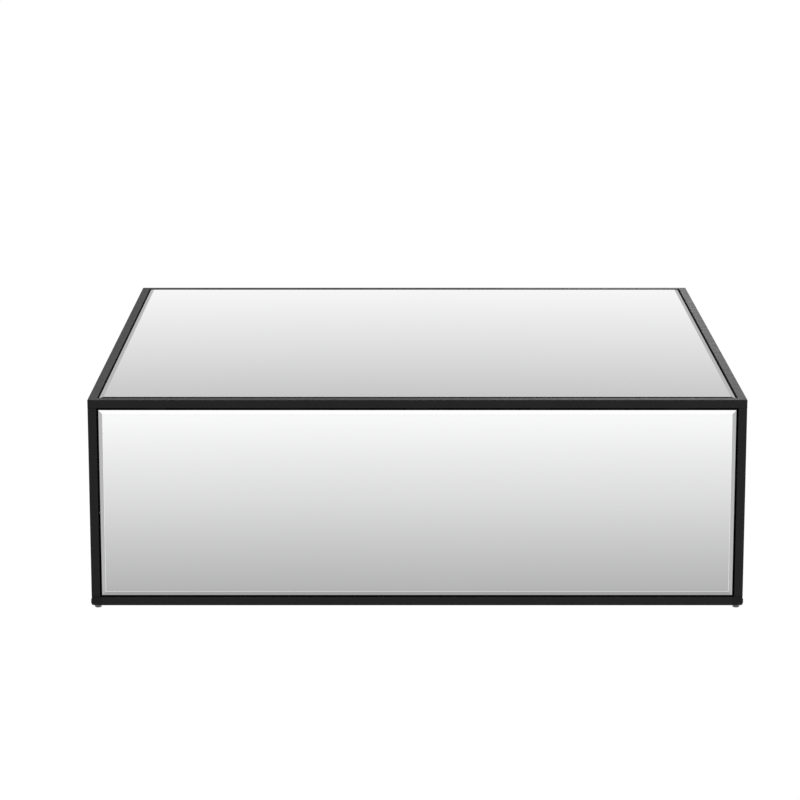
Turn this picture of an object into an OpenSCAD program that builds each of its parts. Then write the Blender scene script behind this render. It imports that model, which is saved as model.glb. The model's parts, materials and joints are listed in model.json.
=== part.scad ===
// Square block coffee table: a frame of slim square tubes along all twelve edges, bevelled
// mirrors set flush in the top and the four sides, and four corner feet with screw glides.
// Origin: centre of the footprint on the floor. +Z is up, -Y is the front.

/* [Overall] */
// Width over the frame, left to right
table_w = 1220; // [800:10:1500]
// Depth over the frame, front to back
table_d = 1220; // [800:10:1500]
// Height of the top above the floor
table_h = 400; // [300:5:520]
// Gap under the frame when the glides are screwed fully in
floor_gap = 6; // [5:0.5:10]

/* [Frame tube] */
// Outside width of the square tube
tube = 16; // [15:0.5:24]
// Wall thickness of the tube
wall = 1.5; // [1:0.1:2]
// Radius of the tube's outside corners
tube_r = 1; // [0.6:0.1:1.5]

/* [Mirrors] */
// Thickness of the glass
glass_t = 5; // [4:0.5:6]
// Width of the bevel along each edge
bevel_w = 7.5; // [5:0.5:20]
// How far the bevel drops at the edge of the glass
bevel_drop = 1.3; // [0.8:0.1:2.5]
// Dark gap between the glass and the tube
reveal = 4; // [2.5:0.5:5]

/* [Backing] */
// Thickness of the adhesive beads
bead_t = 1; // [0.8:0.1:1.5]
// Width of an adhesive bead
bead_w = 12; // [8:1:20]
// Thickness of the backing boards
board_t = 8; // [6:0.5:8]
// How far a board's edge stands in from the edge of its glass
board_inset = 1; // [0.5:0.5:3]
// Thickness of the bottom cover
cover_t = 4; // [3:0.5:5]
// How far the cover sits up from the underside of the frame
cover_recess = 2; // [1:0.5:3]

/* [Tabs and screws] */
// Thickness of the welded tabs
tab_t = 2; // [1.5:0.5:2]
// Length of a tab along its tube
tab_l = 40; // [30:5:60]
// How far a tab reaches in from its tube
tab_reach = 20; // [18:1:30]
// Distance from the end of a tube to its first tab
tab_end = 110; // [80:10:200]
// The same for the tabs of the top and the cover
level_tab_end = 170; // [150:10:200]
// Distance from the middle of a rail to its inner level tabs
level_tab_mid = 130; // [80:10:160]
// How far the tabs on a leg are set above or below its middle
leg_tab_shift = 25; // [22:1:60]
// Distance from the tube to the screw in a tab
tab_hole = 12.5; // [12:0.5:14]
// Diameter of the screw shanks
screw_d = 3.5; // [3:0.5:4]
// Diameter of the screw heads
screw_head_d = 7; // [6:0.5:8]
// Height of the screw heads
screw_head_h = 2; // [1.5:0.5:2.5]
// How far a screw goes into a backing board
screw_bite = 5.5; // [4:0.5:5.5]
// Room around a shank in its tab
screw_clear = 0.3; // [0.1:0.1:0.6]

/* [Bearers] */
// Outside width of the square bearer tubes
bearer = 20; // [16:1:25]
// Distance from the middle of the table to each bearer
bearer_x = 230; // [150:10:300]
// Thickness of the bearers' end plates
plate_t = 2; // [1.5:0.5:2]
// Length of an end plate along its rail
plate_l = 36; // [30:2:50]

/* [Feet] */
// How far a foot stands proud of the frame's two outer faces
foot_proud = 1.3; // [0.5:0.1:2]
// How far a foot stands above the bottom rails
foot_over = 4; // [3:0.5:10]
// How far a foot reaches past the tubes' inner faces
foot_past = 2; // [1:0.5:8]
// How far a foot stands below the frame
foot_below = 2.4; // [1:0.1:3]
// Radius that rounds a foot towards its underside
foot_round_r = 12.6; // [12.6:0.1:16]
// Height of the centre of that rounding above the underside of the frame
foot_round_z = 8.5; // [8:0.5:9]
// Radius of the foot's upright outer edge
foot_edge_r = 4; // [2:0.5:4]
// Length of the pegs that go into the tubes
peg_l = 30; // [20:5:50]
// Room between a peg and the inside of its tube
peg_clear = 0.1; // [0:0.05:0.3]

/* [Glides] */
// Distance from the frame's outer faces to the glide's axis
glide_inset = 11.2; // [11:0.2:12]
// Diameter of the glide's stud
stud_d = 8; // [6:1:8]
// Radial clearance of the stud in its insert
stud_clear = 0.05; // [0.02:0.01:0.1]
// Outside diameter of the threaded insert
insert_d = 10.5; // [10:0.5:11]
// Length of the threaded insert
insert_l = 14; // [10:1:16]
// How far the bore goes on above the insert
bore_extra = 3; // [2:0.5:5]
// Distance across the flats of the stud's collar
collar_af = 11; // [10:0.5:12]
// Thickness of the stud's collar
collar_t = 1.2; // [1:0.1:1.5]
// Largest diameter of the glide's pad
pad_d = 13; // [12:0.5:16]
// Diameter of the pad's flat underside
pad_flat_d = 9; // [6:0.5:11]
// Height of the pad's straight rim
pad_rim = 0.8; // [0.4:0.1:1]
// Diameter of the pin that the pad turns on
pin_d = 5; // [4:0.5:6]
// Thickness of the pad under the pin
pad_floor = 0.8; // [0.5:0.1:1.2]

/* [Hidden] */
$fn = 64;
corners = [["front_left", -1, -1], ["front_right", 1, -1], ["back_left", -1, 1], ["back_right", 1, 1]];
sides = ["front", "back", "left", "right"];
mirrored = concat(["top"], sides);
panels = concat(["top", "bottom"], sides);

frame_x = table_w / 2;
frame_y = table_d / 2;
frame_z0 = floor_gap;
rail_top_z = table_h - tube;
rail_bottom_z = frame_z0 + tube;
foot_rise = tube + foot_over;
foot_reach = tube + foot_past;
leg_z0 = frame_z0 + foot_rise;

// Depth of each layer behind the outer face of a panel
board_at = glass_t + bead_t;
tab_at = board_at + board_t;

// Glass sizes
margin = tube + reveal;
glass_top = [table_w - 2 * margin, table_d - 2 * margin];
glass_side_h = rail_top_z - rail_bottom_z - 2 * reveal;
side_z = (rail_top_z + rail_bottom_z) / 2;

// Beads
bead_rows = 6;
bead_end = 20;

// Screws
loose_d = screw_d + 2 * screw_clear;
bearer_screws = 5;

// Bearers sit against the underside of the top board
bearer_z0 = table_h - tab_at - bearer;
bearer_l = table_d - 2 * tube - 2 * plate_t;
plate_h = bearer + board_t;

// Bottom cover, which fits between the rails and is notched round the feet
cover_z0 = frame_z0 + cover_recess;
cover_gap = 0.5;
cover_margin = tube + cover_gap;
cover_notch = foot_reach + cover_gap;

// Feet
foot_z0 = frame_z0 - foot_below;
peg = tube - 2 * wall - 2 * peg_clear;
peg_edge_r = 0.5;
foot_collar = 4;

// Glides. A stud stops a little short of the top of its insert.
bore_d = stud_d + 2 * stud_clear;
collar_z0 = foot_z0 - collar_t;
stud_short = 1;
stud_top = foot_z0 + insert_l - stud_short;
pin_clear = 0.05;

// How far a cutting shape runs past what it cuts, and a joined shape into its neighbour
cut = 1;

frame_color = [0.06, 0.06, 0.06];
glass_color = [0.82, 0.84, 0.85];
board_color = [0.2, 0.18, 0.16];
bead_color = [0.75, 0.74, 0.7];
steel_color = [0.7, 0.71, 0.72];
brass_color = [0.78, 0.62, 0.3];
plastic_color = [0.05, 0.05, 0.05];

// ---- Placing ----

// Length over the frame of the named side
function side_length(side) = side == "front" || side == "back" ? table_w : table_d;

// Length of the named side between its legs
function side_opening(side) = side_length(side) - 2 * tube;

// Puts its children on the named side. They are drawn as on the front, with the outer face
// on the plane y = 0 looking at -Y, and X along the side.
module on_side(side) {
    if (side == "front") translate([0, -frame_y, 0]) children();
    if (side == "back") rotate(180) translate([0, -frame_y, 0]) children();
    if (side == "left") rotate(-90) translate([0, -frame_x, 0]) children();
    if (side == "right") rotate(90) translate([0, -frame_x, 0]) children();
}

// Lays its children flat on the top. They are drawn upright, looking at -Y.
module on_top() {
    translate([0, 0, table_h]) rotate([-90, 0, 0]) children();
}

// Puts its children at a corner. They are drawn from the frame's outer upright edge at the
// origin, reaching along +X and +Y.
module at_corner(c) {
    translate([c[1] * frame_x, c[2] * frame_y, 0])
        mirror([c[1] > 0 ? 1 : 0, 0, 0]) mirror([0, c[2] > 0 ? 1 : 0, 0]) children();
}

// Puts its children at each tab of an upright panel. They are drawn standing on the tube at
// z = 0, with the board's face at y = 0. The two tabs on one leg are at different heights.
module at_side_tabs(side) {
    half = side_opening(side) / 2;
    leg_tab_z = side_z + (side == "front" || side == "back" ? leg_tab_shift : -leg_tab_shift);
    on_side(side) translate([0, tab_at, 0]) {
        for (x = [tab_end - half, 0, half - tab_end]) {
            translate([x, 0, rail_bottom_z]) children();
            translate([x, 0, rail_top_z]) rotate([0, 180, 0]) children();
        }
        translate([-half, 0, leg_tab_z]) rotate([0, 90, 0]) children();
        translate([half, 0, leg_tab_z]) rotate([0, -90, 0]) children();
    }
}

// Puts its children at each level tab, at the given height. They are drawn as on the front,
// with the rail's inner face at y = 0.
module at_level_tabs(z) {
    for (side = sides) {
        half = side_opening(side) / 2;
        for (x = [level_tab_end - half, -level_tab_mid, level_tab_mid, half - level_tab_end])
            on_side(side) translate([x, tube, z]) children();
    }
}

// Puts its children at each bearer screw, on the underside of the top board
module at_bearer_screws(side) {
    pitch = bearer_l / bearer_screws;
    for (i = [0 : bearer_screws - 1])
        translate([side * bearer_x, (i - (bearer_screws - 1) / 2) * pitch, table_h - tab_at]) children();
}

// ---- Frame ----

// A square with rounded corners, centred
module rounded_square(side, r) {
    square([side, side - 2 * r], center = true);
    square([side - 2 * r, side], center = true);
    for (x = [-1, 1], y = [-1, 1])
        translate([x * (side / 2 - r), y * (side / 2 - r)]) circle(r);
}

// Cross-section of a square tube, centred
module tube_section(side = tube) {
    difference() {
        rounded_square(side, tube_r);
        square(side - 2 * wall, center = true);
    }
}

// A tube along X, centred in all three directions
module tube_x(length) {
    rotate([90, 0, 90]) linear_extrude(length, center = true) tube_section();
}

module leg(c) {
    color(frame_color) at_corner(c)
        translate([tube / 2, tube / 2, leg_z0]) linear_extrude(rail_top_z - leg_z0) tube_section();
}

// Mitred at both ends
module top_rail(side) {
    half = side_length(side) / 2;
    color(frame_color) on_side(side) intersection() {
        translate([0, tube / 2, table_h - tube / 2]) tube_x(2 * half);
        translate([0, 0, rail_top_z - cut]) linear_extrude(tube + 2 * cut)
            polygon([[-half, 0], [half, 0], [half - tube, tube], [tube - half, tube]]);
    }
}

// Butts against the feet at both ends
module bottom_rail(side) {
    color(frame_color) on_side(side)
        translate([0, tube / 2, frame_z0 + tube / 2]) tube_x(side_length(side) - 2 * foot_reach);
}

// ---- Mirrors ----

// Outline across a bevelled sheet, with its face on y = 0
module glass_profile(width) {
    edge = width / 2;
    polygon([
        [-edge, glass_t], [-edge, bevel_drop], [bevel_w - edge, 0],
        [edge - bevel_w, 0], [edge, bevel_drop], [edge, glass_t]
    ]);
}

// A bevelled sheet standing upright, looking at -Y, centred in X and Z
module glass_sheet(width, height) {
    intersection() {
        linear_extrude(height, center = true) glass_profile(width);
        rotate([0, 90, 0]) linear_extrude(width, center = true) glass_profile(height);
    }
}

module mirror_sheet(side) {
    color(glass_color) {
        if (side == "top") on_top() glass_sheet(glass_top[0], glass_top[1]);
        else on_side(side) translate([0, 0, side_z])
            glass_sheet(side_length(side) - 2 * margin, glass_side_h);
    }
}

// ---- Backing ----

// Rows of adhesive behind a sheet
module bead_row(width, height) {
    pitch = width / bead_rows;
    for (i = [0 : bead_rows - 1])
        translate([(i - (bead_rows - 1) / 2) * pitch, glass_t + bead_t / 2, 0])
            cube([bead_w, bead_t, height - 2 * bead_end], center = true);
}

module beads(side) {
    color(bead_color) {
        if (side == "top") on_top() bead_row(glass_top[0], glass_top[1]);
        else on_side(side) translate([0, 0, side_z])
            bead_row(side_length(side) - 2 * margin, glass_side_h);
    }
}

module board_sheet(width, height) {
    translate([0, board_at + board_t / 2, 0])
        cube([width - 2 * board_inset, board_t, height - 2 * board_inset], center = true);
}

// The hole that a tab's screw makes in a board, drawn as at_side_tabs needs it
module screw_hole() {
    translate([0, cut, tab_hole]) rotate([90, 0, 0]) cylinder(h = screw_bite + cut, d = screw_d);
}

module board(side) {
    color(board_color) difference() {
        if (side == "top") on_top() board_sheet(glass_top[0], glass_top[1]);
        else on_side(side) translate([0, 0, side_z])
            board_sheet(side_length(side) - 2 * margin, glass_side_h);
        if (side == "top") {
            at_level_tabs(table_h - tab_at) rotate([-90, 0, 0]) screw_hole();
            for (x = [-1, 1])
                at_bearer_screws(x) translate([0, 0, -cut]) cylinder(h = screw_bite + cut, d = screw_d);
        }
        else at_side_tabs(side) screw_hole();
    }
}

// ---- Tabs and screws ----

// A tab standing on its tube, with its outer face at y = 0
module tab(hole_d) {
    difference() {
        translate([-tab_l / 2, 0, 0]) cube([tab_l, tab_t, tab_reach]);
        translate([0, -cut, tab_hole]) rotate([-90, 0, 0]) cylinder(h = tab_t + 2 * cut, d = hole_d);
    }
}

module tabs(side) {
    color(frame_color) {
        if (side == "top") at_level_tabs(table_h - tab_at) rotate([-90, 0, 0]) tab(loose_d);
        else if (side == "bottom")
            at_level_tabs(cover_z0 + cover_t + tab_t) rotate([-90, 0, 0]) tab(screw_d);
        else at_side_tabs(side) tab(loose_d);
    }
}

// A pan-head screw pointing up, with the underside of its head on z = 0
module screw(shank) {
    cylinder(h = shank, d = screw_d);
    translate([0, 0, -screw_head_h]) cylinder(h = screw_head_h, d = screw_head_d);
}

// A screw in a tab that stands on its tube
module tab_screw() {
    translate([0, tab_t, tab_hole]) rotate([90, 0, 0]) screw(tab_t + screw_bite);
}

module screws(side) {
    color(steel_color) {
        if (side == "top") at_level_tabs(table_h - tab_at) rotate([-90, 0, 0]) tab_screw();
        else if (side == "bottom")
            at_level_tabs(cover_z0) translate([0, tab_hole, 0]) screw(cover_t + tab_t);
        else at_side_tabs(side) tab_screw();
    }
}

// ---- Bearers and cover ----

module bearer_tube(side) {
    color(frame_color) difference() {
        translate([side * bearer_x, 0, bearer_z0 + bearer / 2]) rotate(90) rotate([90, 0, 90])
            linear_extrude(bearer_l, center = true) tube_section(bearer);
        at_bearer_screws(side) translate([0, 0, -bearer - cut]) cylinder(h = bearer + 2 * cut, d = loose_d);
    }
}

// Plates welded to the rails and to the bearers' ends, in the gap beside the top board
module bearer_plates() {
    color(frame_color) for (side = ["front", "back"], x = [-1, 1])
        on_side(side) translate([x * bearer_x - plate_l / 2, tube, bearer_z0])
            cube([plate_l, plate_t, plate_h]);
}

module bearer_screw_set() {
    color(steel_color) for (x = [-1, 1])
        at_bearer_screws(x) translate([0, 0, -bearer]) screw(bearer + screw_bite);
}

module bottom_cover() {
    color(board_color) difference() {
        translate([cover_margin - frame_x, cover_margin - frame_y, cover_z0])
            cube([table_w - 2 * cover_margin, table_d - 2 * cover_margin, cover_t]);
        at_level_tabs(cover_z0) translate([0, tab_hole, -cut]) cylinder(h = cover_t + 2 * cut, d = loose_d);
        for (x = [-1, 1], y = [-1, 1])
            translate([x * frame_x - cover_notch, y * frame_y - cover_notch, cover_z0 - cut])
                cube([2 * cover_notch, 2 * cover_notch, cover_t + 2 * cut]);
    }
}

// ---- Feet ----

// Square peg along Z
module foot_peg() {
    linear_extrude(peg_l + cut) rounded_square(peg, peg_edge_r);
}

// The rounded block of a foot, from the frame's outer upright edge
module foot_block() {
    reach = foot_proud + foot_reach;
    round_z = frame_z0 + foot_round_z;
    intersection() {
        union() {
            translate([-foot_proud, -foot_proud, frame_z0]) cube([reach, reach, tube]);
            translate([-foot_proud, -foot_proud, frame_z0])
                cube([foot_proud + tube, foot_proud + tube, foot_rise]);
        }
        translate([0, glide_inset, round_z]) rotate([0, 90, 0])
            cylinder(h = 2 * reach, r = foot_round_r, center = true);
        translate([glide_inset, 0, round_z]) rotate([90, 0, 0])
            cylinder(h = 2 * reach, r = foot_round_r, center = true);
        translate([-foot_proud, -foot_proud, frame_z0]) union() {
            translate([foot_edge_r, foot_edge_r, 0]) cylinder(h = foot_rise, r = foot_edge_r);
            translate([foot_edge_r, 0, 0]) cube([reach, reach, foot_rise]);
            translate([0, foot_edge_r, 0]) cube([reach, reach, foot_rise]);
        }
    }
    intersection() {
        translate([-foot_proud, -foot_proud, foot_z0]) cube([reach, reach, foot_below]);
        translate([glide_inset, glide_inset, round_z]) sphere(foot_round_r);
    }
}

// Square ends that meet the tubes, and the pegs inside them
module foot_ends() {
    mid = tube / 2;
    end = foot_reach - foot_collar;
    translate([mid, mid, leg_z0 - foot_collar]) linear_extrude(foot_collar) rounded_square(tube, tube_r);
    translate([end, mid, frame_z0 + mid]) rotate([90, 0, 90])
        linear_extrude(foot_collar) rounded_square(tube, tube_r);
    translate([mid, end, frame_z0 + mid]) rotate([-90, 0, 0])
        linear_extrude(foot_collar) rounded_square(tube, tube_r);
    translate([mid, mid, leg_z0 - cut]) foot_peg();
    translate([foot_reach - cut, mid, frame_z0 + mid]) rotate([90, 0, 90]) foot_peg();
    translate([mid, foot_reach - cut, frame_z0 + mid]) rotate([-90, 0, 0]) foot_peg();
}

module foot(c) {
    color(plastic_color) at_corner(c) difference() {
        union() {
            foot_block();
            foot_ends();
        }
        translate([glide_inset, glide_inset, foot_z0 - cut]) {
            cylinder(h = insert_l + cut, d = insert_d);
            cylinder(h = insert_l + bore_extra + cut, d = bore_d);
        }
    }
}

module foot_inserts() {
    color(brass_color) for (c = corners) at_corner(c)
        translate([glide_inset, glide_inset, foot_z0]) difference() {
            cylinder(h = insert_l, d = insert_d);
            translate([0, 0, -cut]) cylinder(h = insert_l + 2 * cut, d = bore_d);
        }
}

// ---- Glides ----

module glide_stud(c) {
    color(steel_color) at_corner(c) translate([glide_inset, glide_inset, 0]) {
        translate([0, 0, foot_z0 - cut]) cylinder(h = stud_top - foot_z0 + cut, d = stud_d);
        translate([0, 0, collar_z0]) cylinder(h = collar_t, d = collar_af / cos(30), $fn = 6);
        translate([0, 0, pad_floor + pin_clear]) cylinder(h = collar_z0 - pad_floor, d = pin_d);
    }
}

module glide_pad(c) {
    edge = pad_d / 2;
    flat = pad_flat_d / 2;
    color(plastic_color) at_corner(c) translate([glide_inset, glide_inset, 0]) difference() {
        rotate_extrude() polygon([
            [0, 0], [flat, 0], [edge, collar_z0 - pad_rim], [edge, collar_z0], [0, collar_z0]
        ]);
        translate([0, 0, pad_floor]) cylinder(h = collar_z0, d = pin_d + 2 * pin_clear);
    }
}

for (c = corners) leg(c);
for (s = sides) top_rail(s);
for (s = sides) bottom_rail(s);
for (s = mirrored) mirror_sheet(s);
for (s = mirrored) beads(s);
for (s = mirrored) board(s);
for (s = panels) tabs(s);
for (s = panels) screws(s);
bearer_tube(-1);  // bearer_left
bearer_tube(1);  // bearer_right
bearer_plates();
bearer_screw_set();  // bearer_screws
bottom_cover();
foot_inserts();
for (c = corners) foot(c);
for (c = corners) glide_stud(c);
for (c = corners) glide_pad(c);
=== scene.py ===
"""Mirrored block coffee table: a black square-tube frame with bevelled mirrors and screw glides."""
import json
import math

import bmesh
import bpy
from mathutils import Matrix, Vector


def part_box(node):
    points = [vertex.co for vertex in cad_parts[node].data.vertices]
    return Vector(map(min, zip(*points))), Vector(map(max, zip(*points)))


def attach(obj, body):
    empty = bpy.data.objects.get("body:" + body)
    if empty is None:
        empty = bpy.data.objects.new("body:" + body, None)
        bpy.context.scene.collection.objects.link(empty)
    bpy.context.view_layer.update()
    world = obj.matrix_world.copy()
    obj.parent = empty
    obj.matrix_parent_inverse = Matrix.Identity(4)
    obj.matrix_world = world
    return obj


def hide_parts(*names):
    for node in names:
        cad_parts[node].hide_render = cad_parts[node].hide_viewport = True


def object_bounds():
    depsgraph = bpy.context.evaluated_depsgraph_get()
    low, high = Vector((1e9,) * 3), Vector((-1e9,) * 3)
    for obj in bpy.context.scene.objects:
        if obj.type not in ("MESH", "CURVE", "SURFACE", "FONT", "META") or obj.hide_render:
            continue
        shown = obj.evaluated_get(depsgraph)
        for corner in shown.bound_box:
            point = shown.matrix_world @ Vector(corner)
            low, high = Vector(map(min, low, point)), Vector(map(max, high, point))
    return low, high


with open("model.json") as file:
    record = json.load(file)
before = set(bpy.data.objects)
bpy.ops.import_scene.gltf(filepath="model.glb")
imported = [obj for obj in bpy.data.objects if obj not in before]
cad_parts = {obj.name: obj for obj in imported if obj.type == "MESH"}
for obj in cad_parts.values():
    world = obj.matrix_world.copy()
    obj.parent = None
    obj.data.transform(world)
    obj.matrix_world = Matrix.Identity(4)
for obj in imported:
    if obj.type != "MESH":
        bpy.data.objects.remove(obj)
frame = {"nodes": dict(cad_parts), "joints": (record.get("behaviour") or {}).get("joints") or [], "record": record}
cad_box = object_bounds()

scene = bpy.context.scene
nodes = frame["nodes"]

MM = 0.001
CORNERS = ("front_left", "front_right", "back_left", "back_right")
OUTWARD = {"top": (0, 0, 1), "front": (0, -1, 0), "back": (0, 1, 0), "left": (-1, 0, 0), "right": (1, 0, 0)}
UP = Vector((0, 0, 1))
# Just over white, so that a plain background has no shade left in it.
WHITE = 1.02

# An edge that bends by more than this stays sharp.
SHARP_DEG = 35.0
# The screws' head height and shank diameter, and the turn from one screw's cross to the next one's.
SCREW_HEAD_H = 2.0 * MM
SCREW_SHANK_D = 3.5 * MM
SCREW_STOP_DEG = 37.0


# ---- The object's places, read from the frame ----

floor_z = cad_box[0][2]
rail_low, rail_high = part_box("top_rail_front")
front_y = rail_low.y
table_w = rail_high.x - rail_low.x


# ---- Node helpers ----

class Tree:
    """A material's or world's node tree, with short ways to add and join nodes."""

    def __init__(self, owner):
        owner.use_nodes = True
        self.tree = owner.node_tree
        self.tree.nodes.clear()

    def add(self, kind, inputs=None, **settings):
        """A node of this kind. Inputs are values, or sockets to link from."""
        node = self.tree.nodes.new(kind)
        for name, value in settings.items():
            setattr(node, name, value)
        for name, value in (inputs or {}).items():
            self.put(node.inputs[name], value)
        return node

    def put(self, socket, value):
        """Links a socket to this one, or sets its value."""
        if isinstance(value, bpy.types.NodeSocket):
            self.tree.links.new(value, socket)
        else:
            socket.default_value = value

    def math(self, operation, a, b=0.0):
        return self.add("ShaderNodeMath", {0: a, 1: b}, operation=operation).outputs[0]

    def vector_math(self, operation, a, b):
        return self.add("ShaderNodeVectorMath", {0: a, 1: b}, operation=operation)

    def ramp(self, factor, stops, interpolation="LINEAR"):
        """A colour ramp. Each stop is a position and a grey or a colour."""
        node = self.add("ShaderNodeValToRGB", {"Fac": factor})
        ramp = node.color_ramp
        ramp.interpolation = interpolation
        while len(ramp.elements) < len(stops):
            ramp.elements.new(1.0)
        for element, (position, shade) in zip(ramp.elements, stops):
            element.position = position
            element.color = shade_colour(shade)
        return node.outputs["Color"]

    def noise(self, scale, detail=2.0, roughness=0.5, vector=None):
        """Noise over the object's own coordinates. The scale is in cells for each metre."""
        where = vector or self.add("ShaderNodeTexCoord").outputs["Object"]
        inputs = {"Vector": where, "Scale": scale, "Detail": detail, "Roughness": roughness}
        return self.add("ShaderNodeTexNoise", inputs).outputs["Fac"]

    def blend(self, factor, first, second):
        """A colour between two, by a factor."""
        # A mix node's colours are its inputs 6 and 7 and its output 2.
        first, second = (end if isinstance(end, bpy.types.NodeSocket) else shade_colour(end)
                         for end in (first, second))
        return self.add("ShaderNodeMix", {0: factor, 6: first, 7: second}, data_type="RGBA").outputs[2]

    def bump(self, height, distance, strength):
        """A normal for a surface whose full relief is distance, in metres."""
        inputs = {"Height": height, "Distance": distance, "Strength": strength}
        return self.add("ShaderNodeBump", inputs).outputs["Normal"]

    def surface(self, shader, kind="ShaderNodeOutputMaterial"):
        """Makes the shader the tree's result."""
        self.add(kind, {"Surface": shader})


def shade_colour(shade):
    """A grey or a colour, with full alpha."""
    return (shade, shade, shade, 1.0) if isinstance(shade, (int, float)) else (*shade, 1.0)


def new_material(name):
    """A material and its node tree."""
    material = bpy.data.materials.new(name)
    return material, Tree(material)


# ---- Materials ----

def powder_coat():
    """Satin black powder coat: a fine orange-peel surface with slight changes of gloss."""
    material, tree = new_material("frame_powder_coat")
    peel = tree.noise(900.0, 3.0, 0.55)
    drift = tree.noise(14.0, 2.0)
    colour = tree.blend(drift, (0.0058, 0.0058, 0.0060), (0.0082, 0.0082, 0.0086))
    roughness = tree.ramp(tree.noise(60.0, 3.0), [(0.3, 0.43), (0.7, 0.5)])
    shader = tree.add("ShaderNodeBsdfPrincipled", {
        "Base Color": colour, "Roughness": roughness, "Specular IOR Level": 0.13,
        "Normal": tree.bump(peel, 0.06 * MM, 0.3),
    })
    tree.surface(shader.outputs[0])
    return material


def silvered_face():
    """Mirror glass as it is seen from the front: sharp, with the silver's faint unevenness."""
    material, tree = new_material("mirror_silver")
    cloud = tree.noise(3.0, 2.0)
    colour = tree.blend(cloud, (0.922, 0.926, 0.925), (0.942, 0.945, 0.945))
    shader = tree.add("ShaderNodeBsdfPrincipled", {
        "Base Color": colour, "Roughness": 0.0, "Metallic": 1.0,
    })
    tree.surface(shader.outputs[0])
    return material


def ground_edge():
    """The ground edge of float glass: green-grey and finely frosted."""
    material, tree = new_material("mirror_edge")
    frost = tree.noise(2600.0, 3.0, 0.6)
    colour = tree.ramp(frost, [(0.3, (0.07, 0.12, 0.105)), (0.7, (0.12, 0.19, 0.17))])
    shader = tree.add("ShaderNodeBsdfPrincipled", {
        "Base Color": colour, "Roughness": 0.42, "Normal": tree.bump(frost, 0.05 * MM, 0.5),
    })
    tree.surface(shader.outputs[0])
    return material


def backing_paint():
    """The grey protective paint on a mirror's back, with a roller's stipple."""
    material, tree = new_material("mirror_backing")
    stipple = tree.noise(500.0, 4.0, 0.6)
    colour = tree.ramp(stipple, [(0.3, (0.17, 0.19, 0.19)), (0.7, (0.22, 0.24, 0.24))])
    shader = tree.add("ShaderNodeBsdfPrincipled", {
        "Base Color": colour, "Roughness": 0.6, "Normal": tree.bump(stipple, 0.08 * MM, 0.4),
    })
    tree.surface(shader.outputs[0])
    return material


def bevel_line():
    """The arris where a mirror's face meets its bevel: a fine polished line that scatters light."""
    material, tree = new_material("mirror_arris")
    grind = tree.noise(1200.0, 3.0, 0.6)
    colour = tree.ramp(grind, [(0.3, (0.93, 0.94, 0.94)), (0.7, (0.98, 0.98, 0.98))])
    shader = tree.add("ShaderNodeBsdfPrincipled", {
        "Base Color": colour, "Metallic": 1.0, "Roughness": tree.ramp(grind, [(0.3, 0.3), (0.7, 0.4)]),
    })
    tree.surface(shader.outputs[0])
    return material


def fibreboard():
    """Pressed fibreboard, stained dark: short fibres and fine specks."""
    material, tree = new_material("board_fibre")
    where = tree.add("ShaderNodeTexCoord").outputs["Object"]
    fibres = tree.noise(420.0, 6.0, 0.7, where)
    blotches = tree.noise(9.0, 3.0, 0.5, where)
    fine = tree.ramp(fibres, [(0.3, (0.05, 0.036, 0.026)), (0.7, (0.12, 0.088, 0.062))])
    colour = tree.blend(blotches, fine, (0.075, 0.054, 0.038))
    shader = tree.add("ShaderNodeBsdfPrincipled", {
        "Base Color": colour, "Roughness": 0.82, "Normal": tree.bump(fibres, 0.1 * MM, 0.6),
    })
    tree.surface(shader.outputs[0])
    return material


def adhesive():
    """Cured mirror adhesive: pale, rubbery and a little uneven."""
    material, tree = new_material("adhesive_bead")
    lumps = tree.noise(160.0, 3.0)
    colour = tree.ramp(lumps, [(0.3, (0.58, 0.56, 0.5)), (0.7, (0.68, 0.66, 0.6))])
    shader = tree.add("ShaderNodeBsdfPrincipled", {
        "Base Color": colour, "Roughness": 0.55, "Normal": tree.bump(lumps, 0.4 * MM, 0.5),
    })
    tree.surface(shader.outputs[0])
    return material


def turned_metal(name, tint):
    """Turned metal: fine turning marks and a patchy surface."""
    material, tree = new_material(name)
    where = tree.add("ShaderNodeTexCoord").outputs["Object"]
    stretched = tree.vector_math("MULTIPLY", where, (1.0, 1.0, 40.0)).outputs[0]
    marks = tree.noise(220.0, 3.0, 0.6, stretched)
    patches = tree.noise(300.0, 2.0, 0.5, where)
    dark = tuple(0.8 * part for part in tint)
    shader = tree.add("ShaderNodeBsdfPrincipled", {
        "Base Color": tree.blend(patches, dark, tint), "Metallic": 1.0,
        "Roughness": tree.ramp(patches, [(0.3, 0.28), (0.7, 0.4)]),
        "Normal": tree.bump(marks, 0.03 * MM, 0.4),
    })
    tree.surface(shader.outputs[0])
    return material


def moulded_plastic(name, base, grain, roughness, gloss):
    """Moulded plastic with a fine spark-eroded grain."""
    material, tree = new_material(name)
    spark = tree.noise(grain, 4.0, 0.6)
    drift = tree.noise(70.0, 2.0)
    lighter = tuple(1.35 * part for part in base)
    shader = tree.add("ShaderNodeBsdfPrincipled", {
        "Base Color": tree.blend(drift, base, lighter),
        "Roughness": tree.ramp(spark, [(0.3, roughness), (0.7, roughness + 0.1)]),
        "Specular IOR Level": gloss,
        "Normal": tree.bump(spark, 0.08 * MM, 0.5),
    })
    tree.surface(shader.outputs[0])
    return material


MATERIALS = {
    "frame_steel": powder_coat(),
    "board": fibreboard(),
    "adhesive": adhesive(),
    "fastener": turned_metal("screw_zinc", (0.56, 0.57, 0.58)),
    "insert": turned_metal("insert_brass", (0.72, 0.55, 0.27)),
    "stud_steel": turned_metal("stud_zinc", (0.5, 0.51, 0.52)),
    "foot_plastic": moulded_plastic("foot_moulding", (0.0042, 0.0042, 0.0044), 1500.0, 0.42, 0.12),
    "pad_nylon": moulded_plastic("pad_nylon", (0.0034, 0.0034, 0.0036), 700.0, 0.42, 0.08),
}


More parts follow.
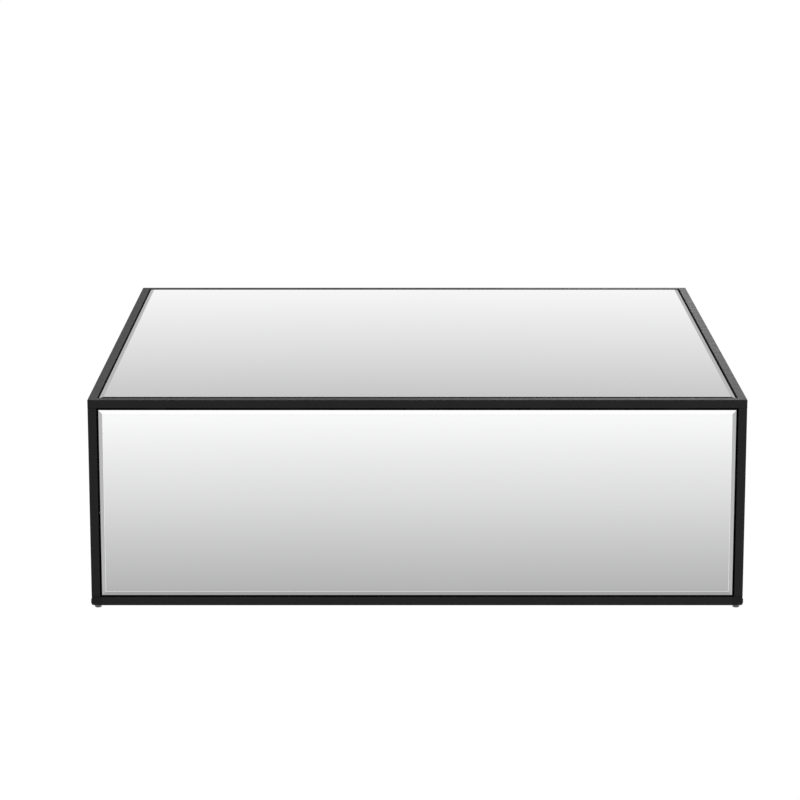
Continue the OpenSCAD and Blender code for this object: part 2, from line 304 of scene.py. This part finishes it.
def paint_nodes():
    """Gives each CAD node the material of its slot."""
    for part in frame["record"]["subparts"]:
        if part["material_slot"] in MATERIALS:
            node = nodes[part["node"]]
            node.data.materials.clear()
            node.data.materials.append(MATERIALS[part["material_slot"]])


# How far a face may turn from straight out and still count as a mirror's front, as a cosine.
FACING = 0.7


def paint_mirror(name, outward, finishes):
    """Silver on the face and the bevels, a ground edge, and paint on the back."""
    mesh = nodes[name].data
    mesh.materials.clear()
    for finish in finishes:
        mesh.materials.append(finish)
    silver, edge, paint = range(len(finishes))
    for face in mesh.polygons:
        facing = face.normal.dot(outward)
        face.material_index = silver if facing > FACING else paint if facing < -FACING else edge


paint_nodes()
MIRROR_FINISHES = (silvered_face(), ground_edge(), backing_paint())
for side, outward in OUTWARD.items():
    paint_mirror("mirror_" + side, Vector(outward), MIRROR_FINISHES)


# ---- Small parts ----

def bounding_corners(points):
    """The lowest and highest corners of a list of points."""
    return tuple(Vector(pick(point[i] for point in points) for i in range(3)) for pick in (min, max))


def solid_boxes(name):
    """The lowest and highest corners of each separate solid in a CAD node."""
    mesh = bmesh.new()
    mesh.from_mesh(nodes[name].data)
    bmesh.ops.remove_doubles(mesh, verts=mesh.verts[:], dist=0.01 * MM)
    waiting = set(mesh.verts)
    boxes = []
    while waiting:
        found = []
        reached = [waiting.pop()]
        while reached:
            vert = reached.pop()
            found.append(vert.co.copy())
            for other in (link.other_vert(vert) for link in vert.link_edges):
                if other in waiting:
                    waiting.remove(other)
                    reached.append(other)
        boxes.append(bounding_corners(found))
    mesh.free()
    return boxes


def add_piece(name, mesh, material, body):
    """A mesh from bmesh as a piece that rides on a body."""
    data = bpy.data.meshes.new(name)
    bmesh.ops.recalc_face_normals(mesh, faces=mesh.faces[:])
    mesh.to_mesh(data)
    mesh.free()
    data.shade_smooth()
    data.set_sharp_from_angle(angle=math.radians(SHARP_DEG))
    data.materials.append(material)
    piece = bpy.data.objects.new(name, data)
    scene.collection.objects.link(piece)
    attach(piece, body)
    return piece


def lathe(mesh, rings, segments, radius=None):
    """Turns rings of (radius, height) about Z. With radius, it gives each point's own, for a thread."""
    rows = []
    for r, z in rings:
        if r == 0:
            rows.append([mesh.verts.new((0, 0, z))])
            continue
        row = []
        for i in range(segments):
            turn = 2 * math.pi * i / segments
            size = radius(r, z, turn) if radius else r
            row.append(mesh.verts.new((size * math.cos(turn), size * math.sin(turn), z)))
        rows.append(row)
    for low_row, high_row in zip(rows, rows[1:]):
        for i in range(segments):
            j = (i + 1) % segments
            ends = [low_row[i], low_row[j]] if len(low_row) > 1 else [low_row[0]]
            ends += [high_row[j], high_row[i]] if len(high_row) > 1 else [high_row[0]]
            mesh.faces.new(ends)


def thread_cut(pitch, depth, start, end):
    """A point's radius on a right-hand thread that fades out at both ends."""
    steepness = 2.4

    def radius(r, z, turn):
        if not start < z < end:
            return r
        phase = (z / pitch - turn / (2 * math.pi)) % 1.0
        cut = min(1.0, steepness * (1.0 - abs(2 * phase - 1.0)))
        fade = min(1.0, (z - start) / pitch, (end - z) / pitch)
        return r - depth * cut * fade
    return radius


def arc(centre, radius, start, end, steps):
    """Points on an arc in the plane of (radius, height), with angles in degrees."""
    angles = (math.radians(start + (end - start) * i / steps) for i in range(steps + 1))
    return [(centre[0] + radius * math.cos(a), centre[1] + radius * math.sin(a)) for a in angles]


def cross_recess(mesh, width, reach, depth, top):
    """A tapered cross that cuts a driver's recess down from the height top."""
    wide, deep = reach / 2, width / 2
    clear, taper_long, taper_wide = 0.3 * MM, 0.45, 0.7
    corners = [(-wide, -deep), (wide, -deep), (wide, deep), (-wide, deep)]
    for turn in (0, 90):
        above = [mesh.verts.new((x, y, top + clear)) for x, y in corners]
        below = [mesh.verts.new((x * taper_long, y * taper_wide, top - depth)) for x, y in corners]
        mesh.faces.new(above)
        mesh.faces.new(below[::-1])
        for i in range(4):
            mesh.faces.new([above[i], below[i], below[(i + 1) % 4], above[(i + 1) % 4]])
        spin = Matrix.Rotation(math.radians(turn), 3, "Z")
        bmesh.ops.rotate(mesh, verts=above + below, cent=(0, 0, 0), matrix=spin)


def screw_mesh(length, head_h, head_d, shank_d):
    """A pan-head cross-recess screw along Z. Its head's top is at 0 and its tip at -length."""
    head, shank = head_d / 2, shank_d / 2
    # The dome's points, as shares of the head's radius and height.
    shares = [(0, 0), (0.35, 0.01), (0.62, 0.07), (0.8, 0.2),
              (0.93, 0.42), (0.995, 0.7), (1, 0.97), (0.97, 1)]
    dome = [(across * head, -down * head_h) for across, down in shares]
    neck = [(1.04 * shank, -head_h)]
    tip = [(0.35 * shank, -length), (0, -length)]
    pitch, depth, plain, steps = 1.4 * MM, 0.45 * MM, 0.8 * MM, 6
    rows = int((length - head_h) / pitch * steps)
    body = [(shank, -head_h - (length - head_h) * i / rows) for i in range(1, rows)]
    mesh = bmesh.new()
    cut = thread_cut(pitch, depth, -length, -head_h - plain)
    lathe(mesh, dome + neck + body + tip, segments=20, radius=cut)
    return mesh


def cut_recess(mesh):
    """The screw's mesh with the cross cut in its head."""
    bmesh.ops.recalc_face_normals(mesh, faces=mesh.faces[:])
    tool = bmesh.new()
    cross_recess(tool, width=1.0 * MM, reach=4.2 * MM, depth=1.3 * MM, top=0)
    bmesh.ops.recalc_face_normals(tool, faces=tool.faces[:])
    pair = []
    for name, part in (("screw_blank", mesh), ("screw_cross", tool)):
        data = bpy.data.meshes.new(name)
        part.to_mesh(data)
        part.free()
        obj = bpy.data.objects.new(name, data)
        scene.collection.objects.link(obj)
        pair.append(obj)
    blank, cross = pair
    cut = blank.modifiers.new("cut", "BOOLEAN")
    cut.operation = "DIFFERENCE"
    cut.solver = "EXACT"
    cut.use_self = True
    cut.object = cross
    bpy.context.view_layer.update()
    done = bmesh.new()
    done.from_object(blank, bpy.context.evaluated_depsgraph_get())
    for obj in pair:
        bpy.data.objects.remove(obj)
    return done


def screw_set(name, tip):
    """Screws in the places of a CAD node's plain ones. Their tips point along tip."""
    boxes = solid_boxes(name)
    tip = Vector(tip)
    axis = max(range(3), key=lambda i: abs(tip[i]))
    across = (axis + 1) % 3
    low, high = boxes[0]
    length = high[axis] - low[axis]
    head_d = high[across] - low[across]
    mesh = cut_recess(screw_mesh(length, SCREW_HEAD_H, head_d, SCREW_SHANK_D))
    one = bpy.data.meshes.new(name)
    mesh.to_mesh(one)
    mesh.free()
    whole = bmesh.new()
    for i, (low, high) in enumerate(boxes):
        head = (low + high) / 2
        head[axis] = (low if tip[axis] > 0 else high)[axis]
        turn = Matrix.Rotation(math.radians(SCREW_STOP_DEG * i), 4, "Z")
        count = len(whole.verts)
        whole.from_mesh(one)
        whole.verts.ensure_lookup_table()
        place = Matrix.Translation(head) @ (-tip).to_track_quat("Z", "Y").to_matrix().to_4x4() @ turn
        bmesh.ops.transform(whole, matrix=place, verts=whole.verts[count:])
    bpy.data.meshes.remove(one)
    piece = add_piece("cross_" + name, whole, MATERIALS["fastener"], "root")
    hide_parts(name)


def glide_stud(corner):
    """A threaded stud with a hexagonal collar, and a pin that turns in the pad."""
    node = "glide_stud_" + corner
    low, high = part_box(node)
    centre = (low + high) / 2
    thread, collar, pin = 4.0 * MM, 5.5 * MM, 2.5 * MM
    collar_low, collar_high = 2.4 * MM, 3.6 * MM
    pitch, depth, tip_chamfer = 1.25 * MM, 0.68 * MM, 0.7 * MM
    steps = 8
    mesh = bmesh.new()
    rows = int((high.z - collar_high) / pitch * steps)
    body = [(thread, collar_high + (high.z - collar_high) * i / rows) for i in range(rows)]
    tip = [(thread - tip_chamfer, high.z), (0, high.z)]
    cut = thread_cut(pitch, depth, collar_high, high.z + pitch)
    lathe(mesh, [(0, collar_high)] + body + tip, segments=28, radius=cut)
    # The collar is a lathe of six sides with chamfered ends.
    wide = collar / math.cos(math.pi / 6)
    soft = 0.2 * MM
    ring = [(0, collar_low), (wide - soft, collar_low), (wide, collar_low + soft),
            (wide, collar_high - soft), (wide - soft, collar_high), (0, collar_high)]
    lathe(mesh, ring, segments=6)
    foot = [(0, low.z), (pin - soft, low.z), (pin, low.z + soft), (pin, collar_low), (0, collar_low)]
    lathe(mesh, foot, segments=24)
    bmesh.ops.translate(mesh, verts=mesh.verts[:], vec=(centre.x, centre.y, 0))
    piece = add_piece("threaded_stud_" + corner, mesh, MATERIALS["stud_steel"], "stud_" + corner)
    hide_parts(node)


def glide_pad(corner):
    """A turned pad: a flat foot, a swept-up rim, a rounded shoulder and the pin's socket."""
    node = "glide_pad_" + corner
    low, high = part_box(node)
    centre = (low + high) / 2
    edge, flat, socket = (high.x - low.x) / 2, 4.5 * MM, 2.55 * MM
    shoulder, floor, rim_h, chamfer = 0.35 * MM, 0.8 * MM, 0.8 * MM, 0.15 * MM
    worn_w, worn_h = 0.4 * MM, 0.08 * MM
    rim = high.z - rim_h
    rings = [(0, low.z), (flat - worn_w, low.z), (flat, low.z + worn_h)]
    rings += [(flat + (edge - flat) * t ** 0.8, low.z + worn_h + (rim - worn_h) * t ** 1.3)
              for t in (0.2, 0.4, 0.6, 0.8, 1.0)]
    rings += arc((edge - shoulder, high.z - shoulder), shoulder, 0, 90, 4)
    rings += [(socket + chamfer, high.z), (socket, high.z - chamfer), (socket, floor), (0, floor)]
    mesh = bmesh.new()
    lathe(mesh, rings, segments=48)
    bmesh.ops.translate(mesh, verts=mesh.verts[:], vec=(centre.x, centre.y, 0))
    piece = add_piece("turned_pad_" + corner, mesh, MATERIALS["pad_nylon"], "glide_" + corner)
    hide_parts(node)


def arris(side, outward):
    """A thin rounded line just outside a mirror's flat face, on the bevel."""
    name = "mirror_" + side
    outward = Vector(outward)
    flat = [face for face in nodes[name].data.polygons if face.normal.dot(outward) > 0.9999]
    corners = [nodes[name].data.vertices[i].co for face in flat for i in face.vertices]
    spin = outward.to_track_quat("Z", "Y").to_matrix()
    local = [spin.transposed() @ corner for corner in corners]
    low, high = bounding_corners(local)
    # Distances out from the flat face and down from it, round the line's small section.
    wide, deep = 0.8 * MM, 0.2 * MM
    shares = [(0, 0), (0.35, 0.1), (0.7, 0.4), (1, 1), (0.5, 1.5)]
    section = [(out * wide, down * deep) for out, down in shares]
    mesh = bmesh.new()
    rows = []
    for out, down in section:
        x0, y0, x1, y1 = low.x - out, low.y - out, high.x + out, high.y + out
        ring = [(x0, y0), (x1, y0), (x1, y1), (x0, y1)]
        rows.append([mesh.verts.new(spin @ Vector((x, y, high.z - down))) for x, y in ring])
    for row, after in zip(rows, rows[1:] + rows[:1]):
        for i in range(4):
            j = (i + 1) % 4
            mesh.faces.new([row[i], row[j], after[j], after[i]])
    piece = add_piece("arris_" + side, mesh, ARRIS, "root")


ARRIS = bevel_line()
for side, outward in OUTWARD.items():
    arris(side, outward)
    screw_set("screws_" + side, outward)
screw_set("screws_bottom", UP)
screw_set("bearer_screws", UP)
for corner in CORNERS:
    glide_stud(corner)
    glide_pad(corner)


# ---- Stage, light and camera ----

def studio_floor():
    """A pale floor, low enough for screwed-out glides. In the mirrors it shows a painted shadow: it is greyer near
    the table.
    """
    travel = max(joint["range_m"][1] for joint in frame["joints"] if joint["type"] == "slide")
    clear = 0.5 * MM
    bpy.ops.mesh.primitive_plane_add(size=60.0, location=(0, 0, floor_z - travel - clear))
    floor = bpy.context.object
    floor.name = "studio_floor"
    material, tree = new_material("studio_floor")
    place = tree.add("ShaderNodeNewGeometry").outputs["Position"]
    split = tree.add("ShaderNodeSeparateXYZ", {0: place})
    half = table_w / 2
    over = [tree.math("MAXIMUM", tree.math("SUBTRACT", tree.math("ABSOLUTE", split.outputs[i]), half), 0.0)
            for i in (0, 1)]
    squares = [tree.math("POWER", part, 2.0) for part in over]
    away = tree.math("SQRT", tree.math("ADD", *squares))
    # Painted shadow: distances from the table in metres, each with the floor's grey there, darker near the table.
    reach = 4.0
    stops = [(0.04, 0.38), (0.1, 0.44), (0.18, 0.5), (0.88, 0.76), (1.7, 1.0), (2.44, 0.97), (4.0, 1.0)]
    shade = tree.ramp(tree.math("DIVIDE", away, reach), [(d / reach, v) for d, v in stops])
    # Painted shade: the corners between the four sides are greyer, which is what the side bevels show.
    longer = tree.math("MAXIMUM", tree.math("MAXIMUM", *over), MM)
    aside = tree.math("DIVIDE", tree.math("MINIMUM", *over), longer)
    grey = tree.ramp(aside, [(0.12, 0.0), (0.38, 1.0), (0.56, 1.0), (1.0, 0.2)], "EASE")
    painted_corner_shade = 0.5
    shade = tree.blend(grey, shade, painted_corner_shade)
    # The mirrors see the floor with its painted shadow and painted corner shade. Seen any other way, it is plain
    # white.
    seen = tree.add("ShaderNodeEmission", {"Color": shade, "Strength": 1.0})
    white = tree.add("ShaderNodeEmission", {"Color": shade_colour(1.0), "Strength": WHITE})
    mirrored = tree.add("ShaderNodeLightPath").outputs["Is Singular Ray"]
    mix = tree.add("ShaderNodeMixShader", {0: mirrored, 1: white.outputs[0], 2: seen.outputs[0]})
    tree.surface(mix.outputs[0])
    floor.data.materials.append(material)


def sine(degrees):
    """The height of a direction at this angle above the horizon, from 0."""
    return max(math.sin(math.radians(degrees)), 0.0)


def studio_world():
    """Soft light from all round. Behind the table are a white backdrop and a black flag above it."""
    world = bpy.data.worlds.new("studio")
    scene.world = world
    tree = Tree(world)
    way = tree.add("ShaderNodeTexCoord").outputs["Generated"]
    split = tree.add("ShaderNodeSeparateXYZ", {0: way}).outputs
    # Angles above the horizon in degrees, each with the studio's grey there.
    rise = [(-1.0, 1.2), (9.0, 1.1), (9.9, 0.945), (11.0, 0.755), (11.9, 0.59), (14.0, 0.46), (17.0, 0.44),
            (24.0, 0.78), (34.0, 0.92), (50.0, 1.0), (72.0, 0.68)]
    shade = tree.ramp(split["Z"], [(sine(angle), value) for angle, value in rise])
    # How far aside from straight behind, as a share of the distance. In front it is over 1.
    aside = tree.math("ADD", tree.math("ABSOLUTE", split["X"]), tree.math("LESS_THAN", split["Y"], 0.0))
    aside = tree.math("DIVIDE", aside, tree.math("MAXIMUM", split["Y"], 0.1))
    flag_high = tree.ramp(split["Z"], [(sine(20), 0.0), (sine(26), 1.0), (sine(36), 1.0), (sine(42), 0.0)])
    flag_wide = tree.ramp(aside, [(0.25, 1.0), (0.5, 0.0)])
    flag_shade, beside_shade = 0.02, 0.49
    shade = tree.blend(tree.math("MULTIPLY", flag_high, flag_wide), shade, flag_shade)
    beside = tree.ramp(aside, [(0.118, 0.0), (0.14, 1.0), (0.4, 1.0), (0.6, 0.0)])
    below = tree.ramp(split["Z"], [(sine(9.5), 1.0), (sine(13), 0.0)])
    shade = tree.blend(tree.math("MULTIPLY", beside, below), shade, beside_shade)
    # Seen straight, the studio is plain white from every side.
    seen = tree.add("ShaderNodeLightPath").outputs["Is Camera Ray"]
    shade = tree.blend(seen, shade, WHITE)
    background = tree.add("ShaderNodeBackground", {"Color": shade, "Strength": 1.0})
    tree.surface(background.outputs[0], "ShaderNodeOutputWorld")


def softbox(name, place, target, size, power, lit):
    """A large area light that lights only the objects in a collection. Power is in watts."""
    lamp = bpy.data.lights.new(name, "AREA")
    lamp.shape = "RECTANGLE"
    lamp.size, lamp.size_y = size
    lamp.energy = power
    obj = bpy.data.objects.new(name, lamp)
    scene.collection.objects.link(obj)
    obj.location = place
    obj.rotation_euler = (Vector(target) - Vector(place)).to_track_quat("-Z", "Y").to_euler()
    obj.light_linking.receiver_collection = lit


def studio_lights():
    """Soft lights for the frame and the feet: overhead, and stronger from the right."""
    lit = bpy.data.collections.new("frame_and_feet")
    for part in frame["record"]["subparts"]:
        if part["material_slot"] in ("frame_steel", "foot_plastic"):
            lit.objects.link(nodes[part["node"]])
    softbox("overhead", (0.0, -0.3, 2.9), (0, 0, 0), size=(3.4, 1.2), power=230.0, lit=lit)
    softbox("key_right", (3.2, -3.0, 1.2), (0.6, -0.6, 0.2), size=(1.6, 1.6), power=60.0, lit=lit)
    softbox("rim_right", (0.8, 3.4, 1.06), (0.6, 0.0, 0.4), size=(0.9, 0.35), power=5.0, lit=lit)


def photo_camera():
    """In front of the table and above it, looking slightly down."""
    data = bpy.data.cameras.new("camera")
    data.sensor_width = 36.0
    data.lens = 133.5
    data.clip_end = 100.0
    camera = bpy.data.objects.new("camera", data)
    scene.collection.objects.link(camera)
    stand_off, left, height, pitch = 5.362, 0.0321, 1.5335, 11.94
    camera.location = (-left, front_y - stand_off, height)
    camera.rotation_euler = (math.radians(90.0 - pitch), 0.0, 0.0)
    scene.camera = camera


studio_floor()
studio_world()
studio_lights()
photo_camera()
scene.view_settings.view_transform = "Standard"
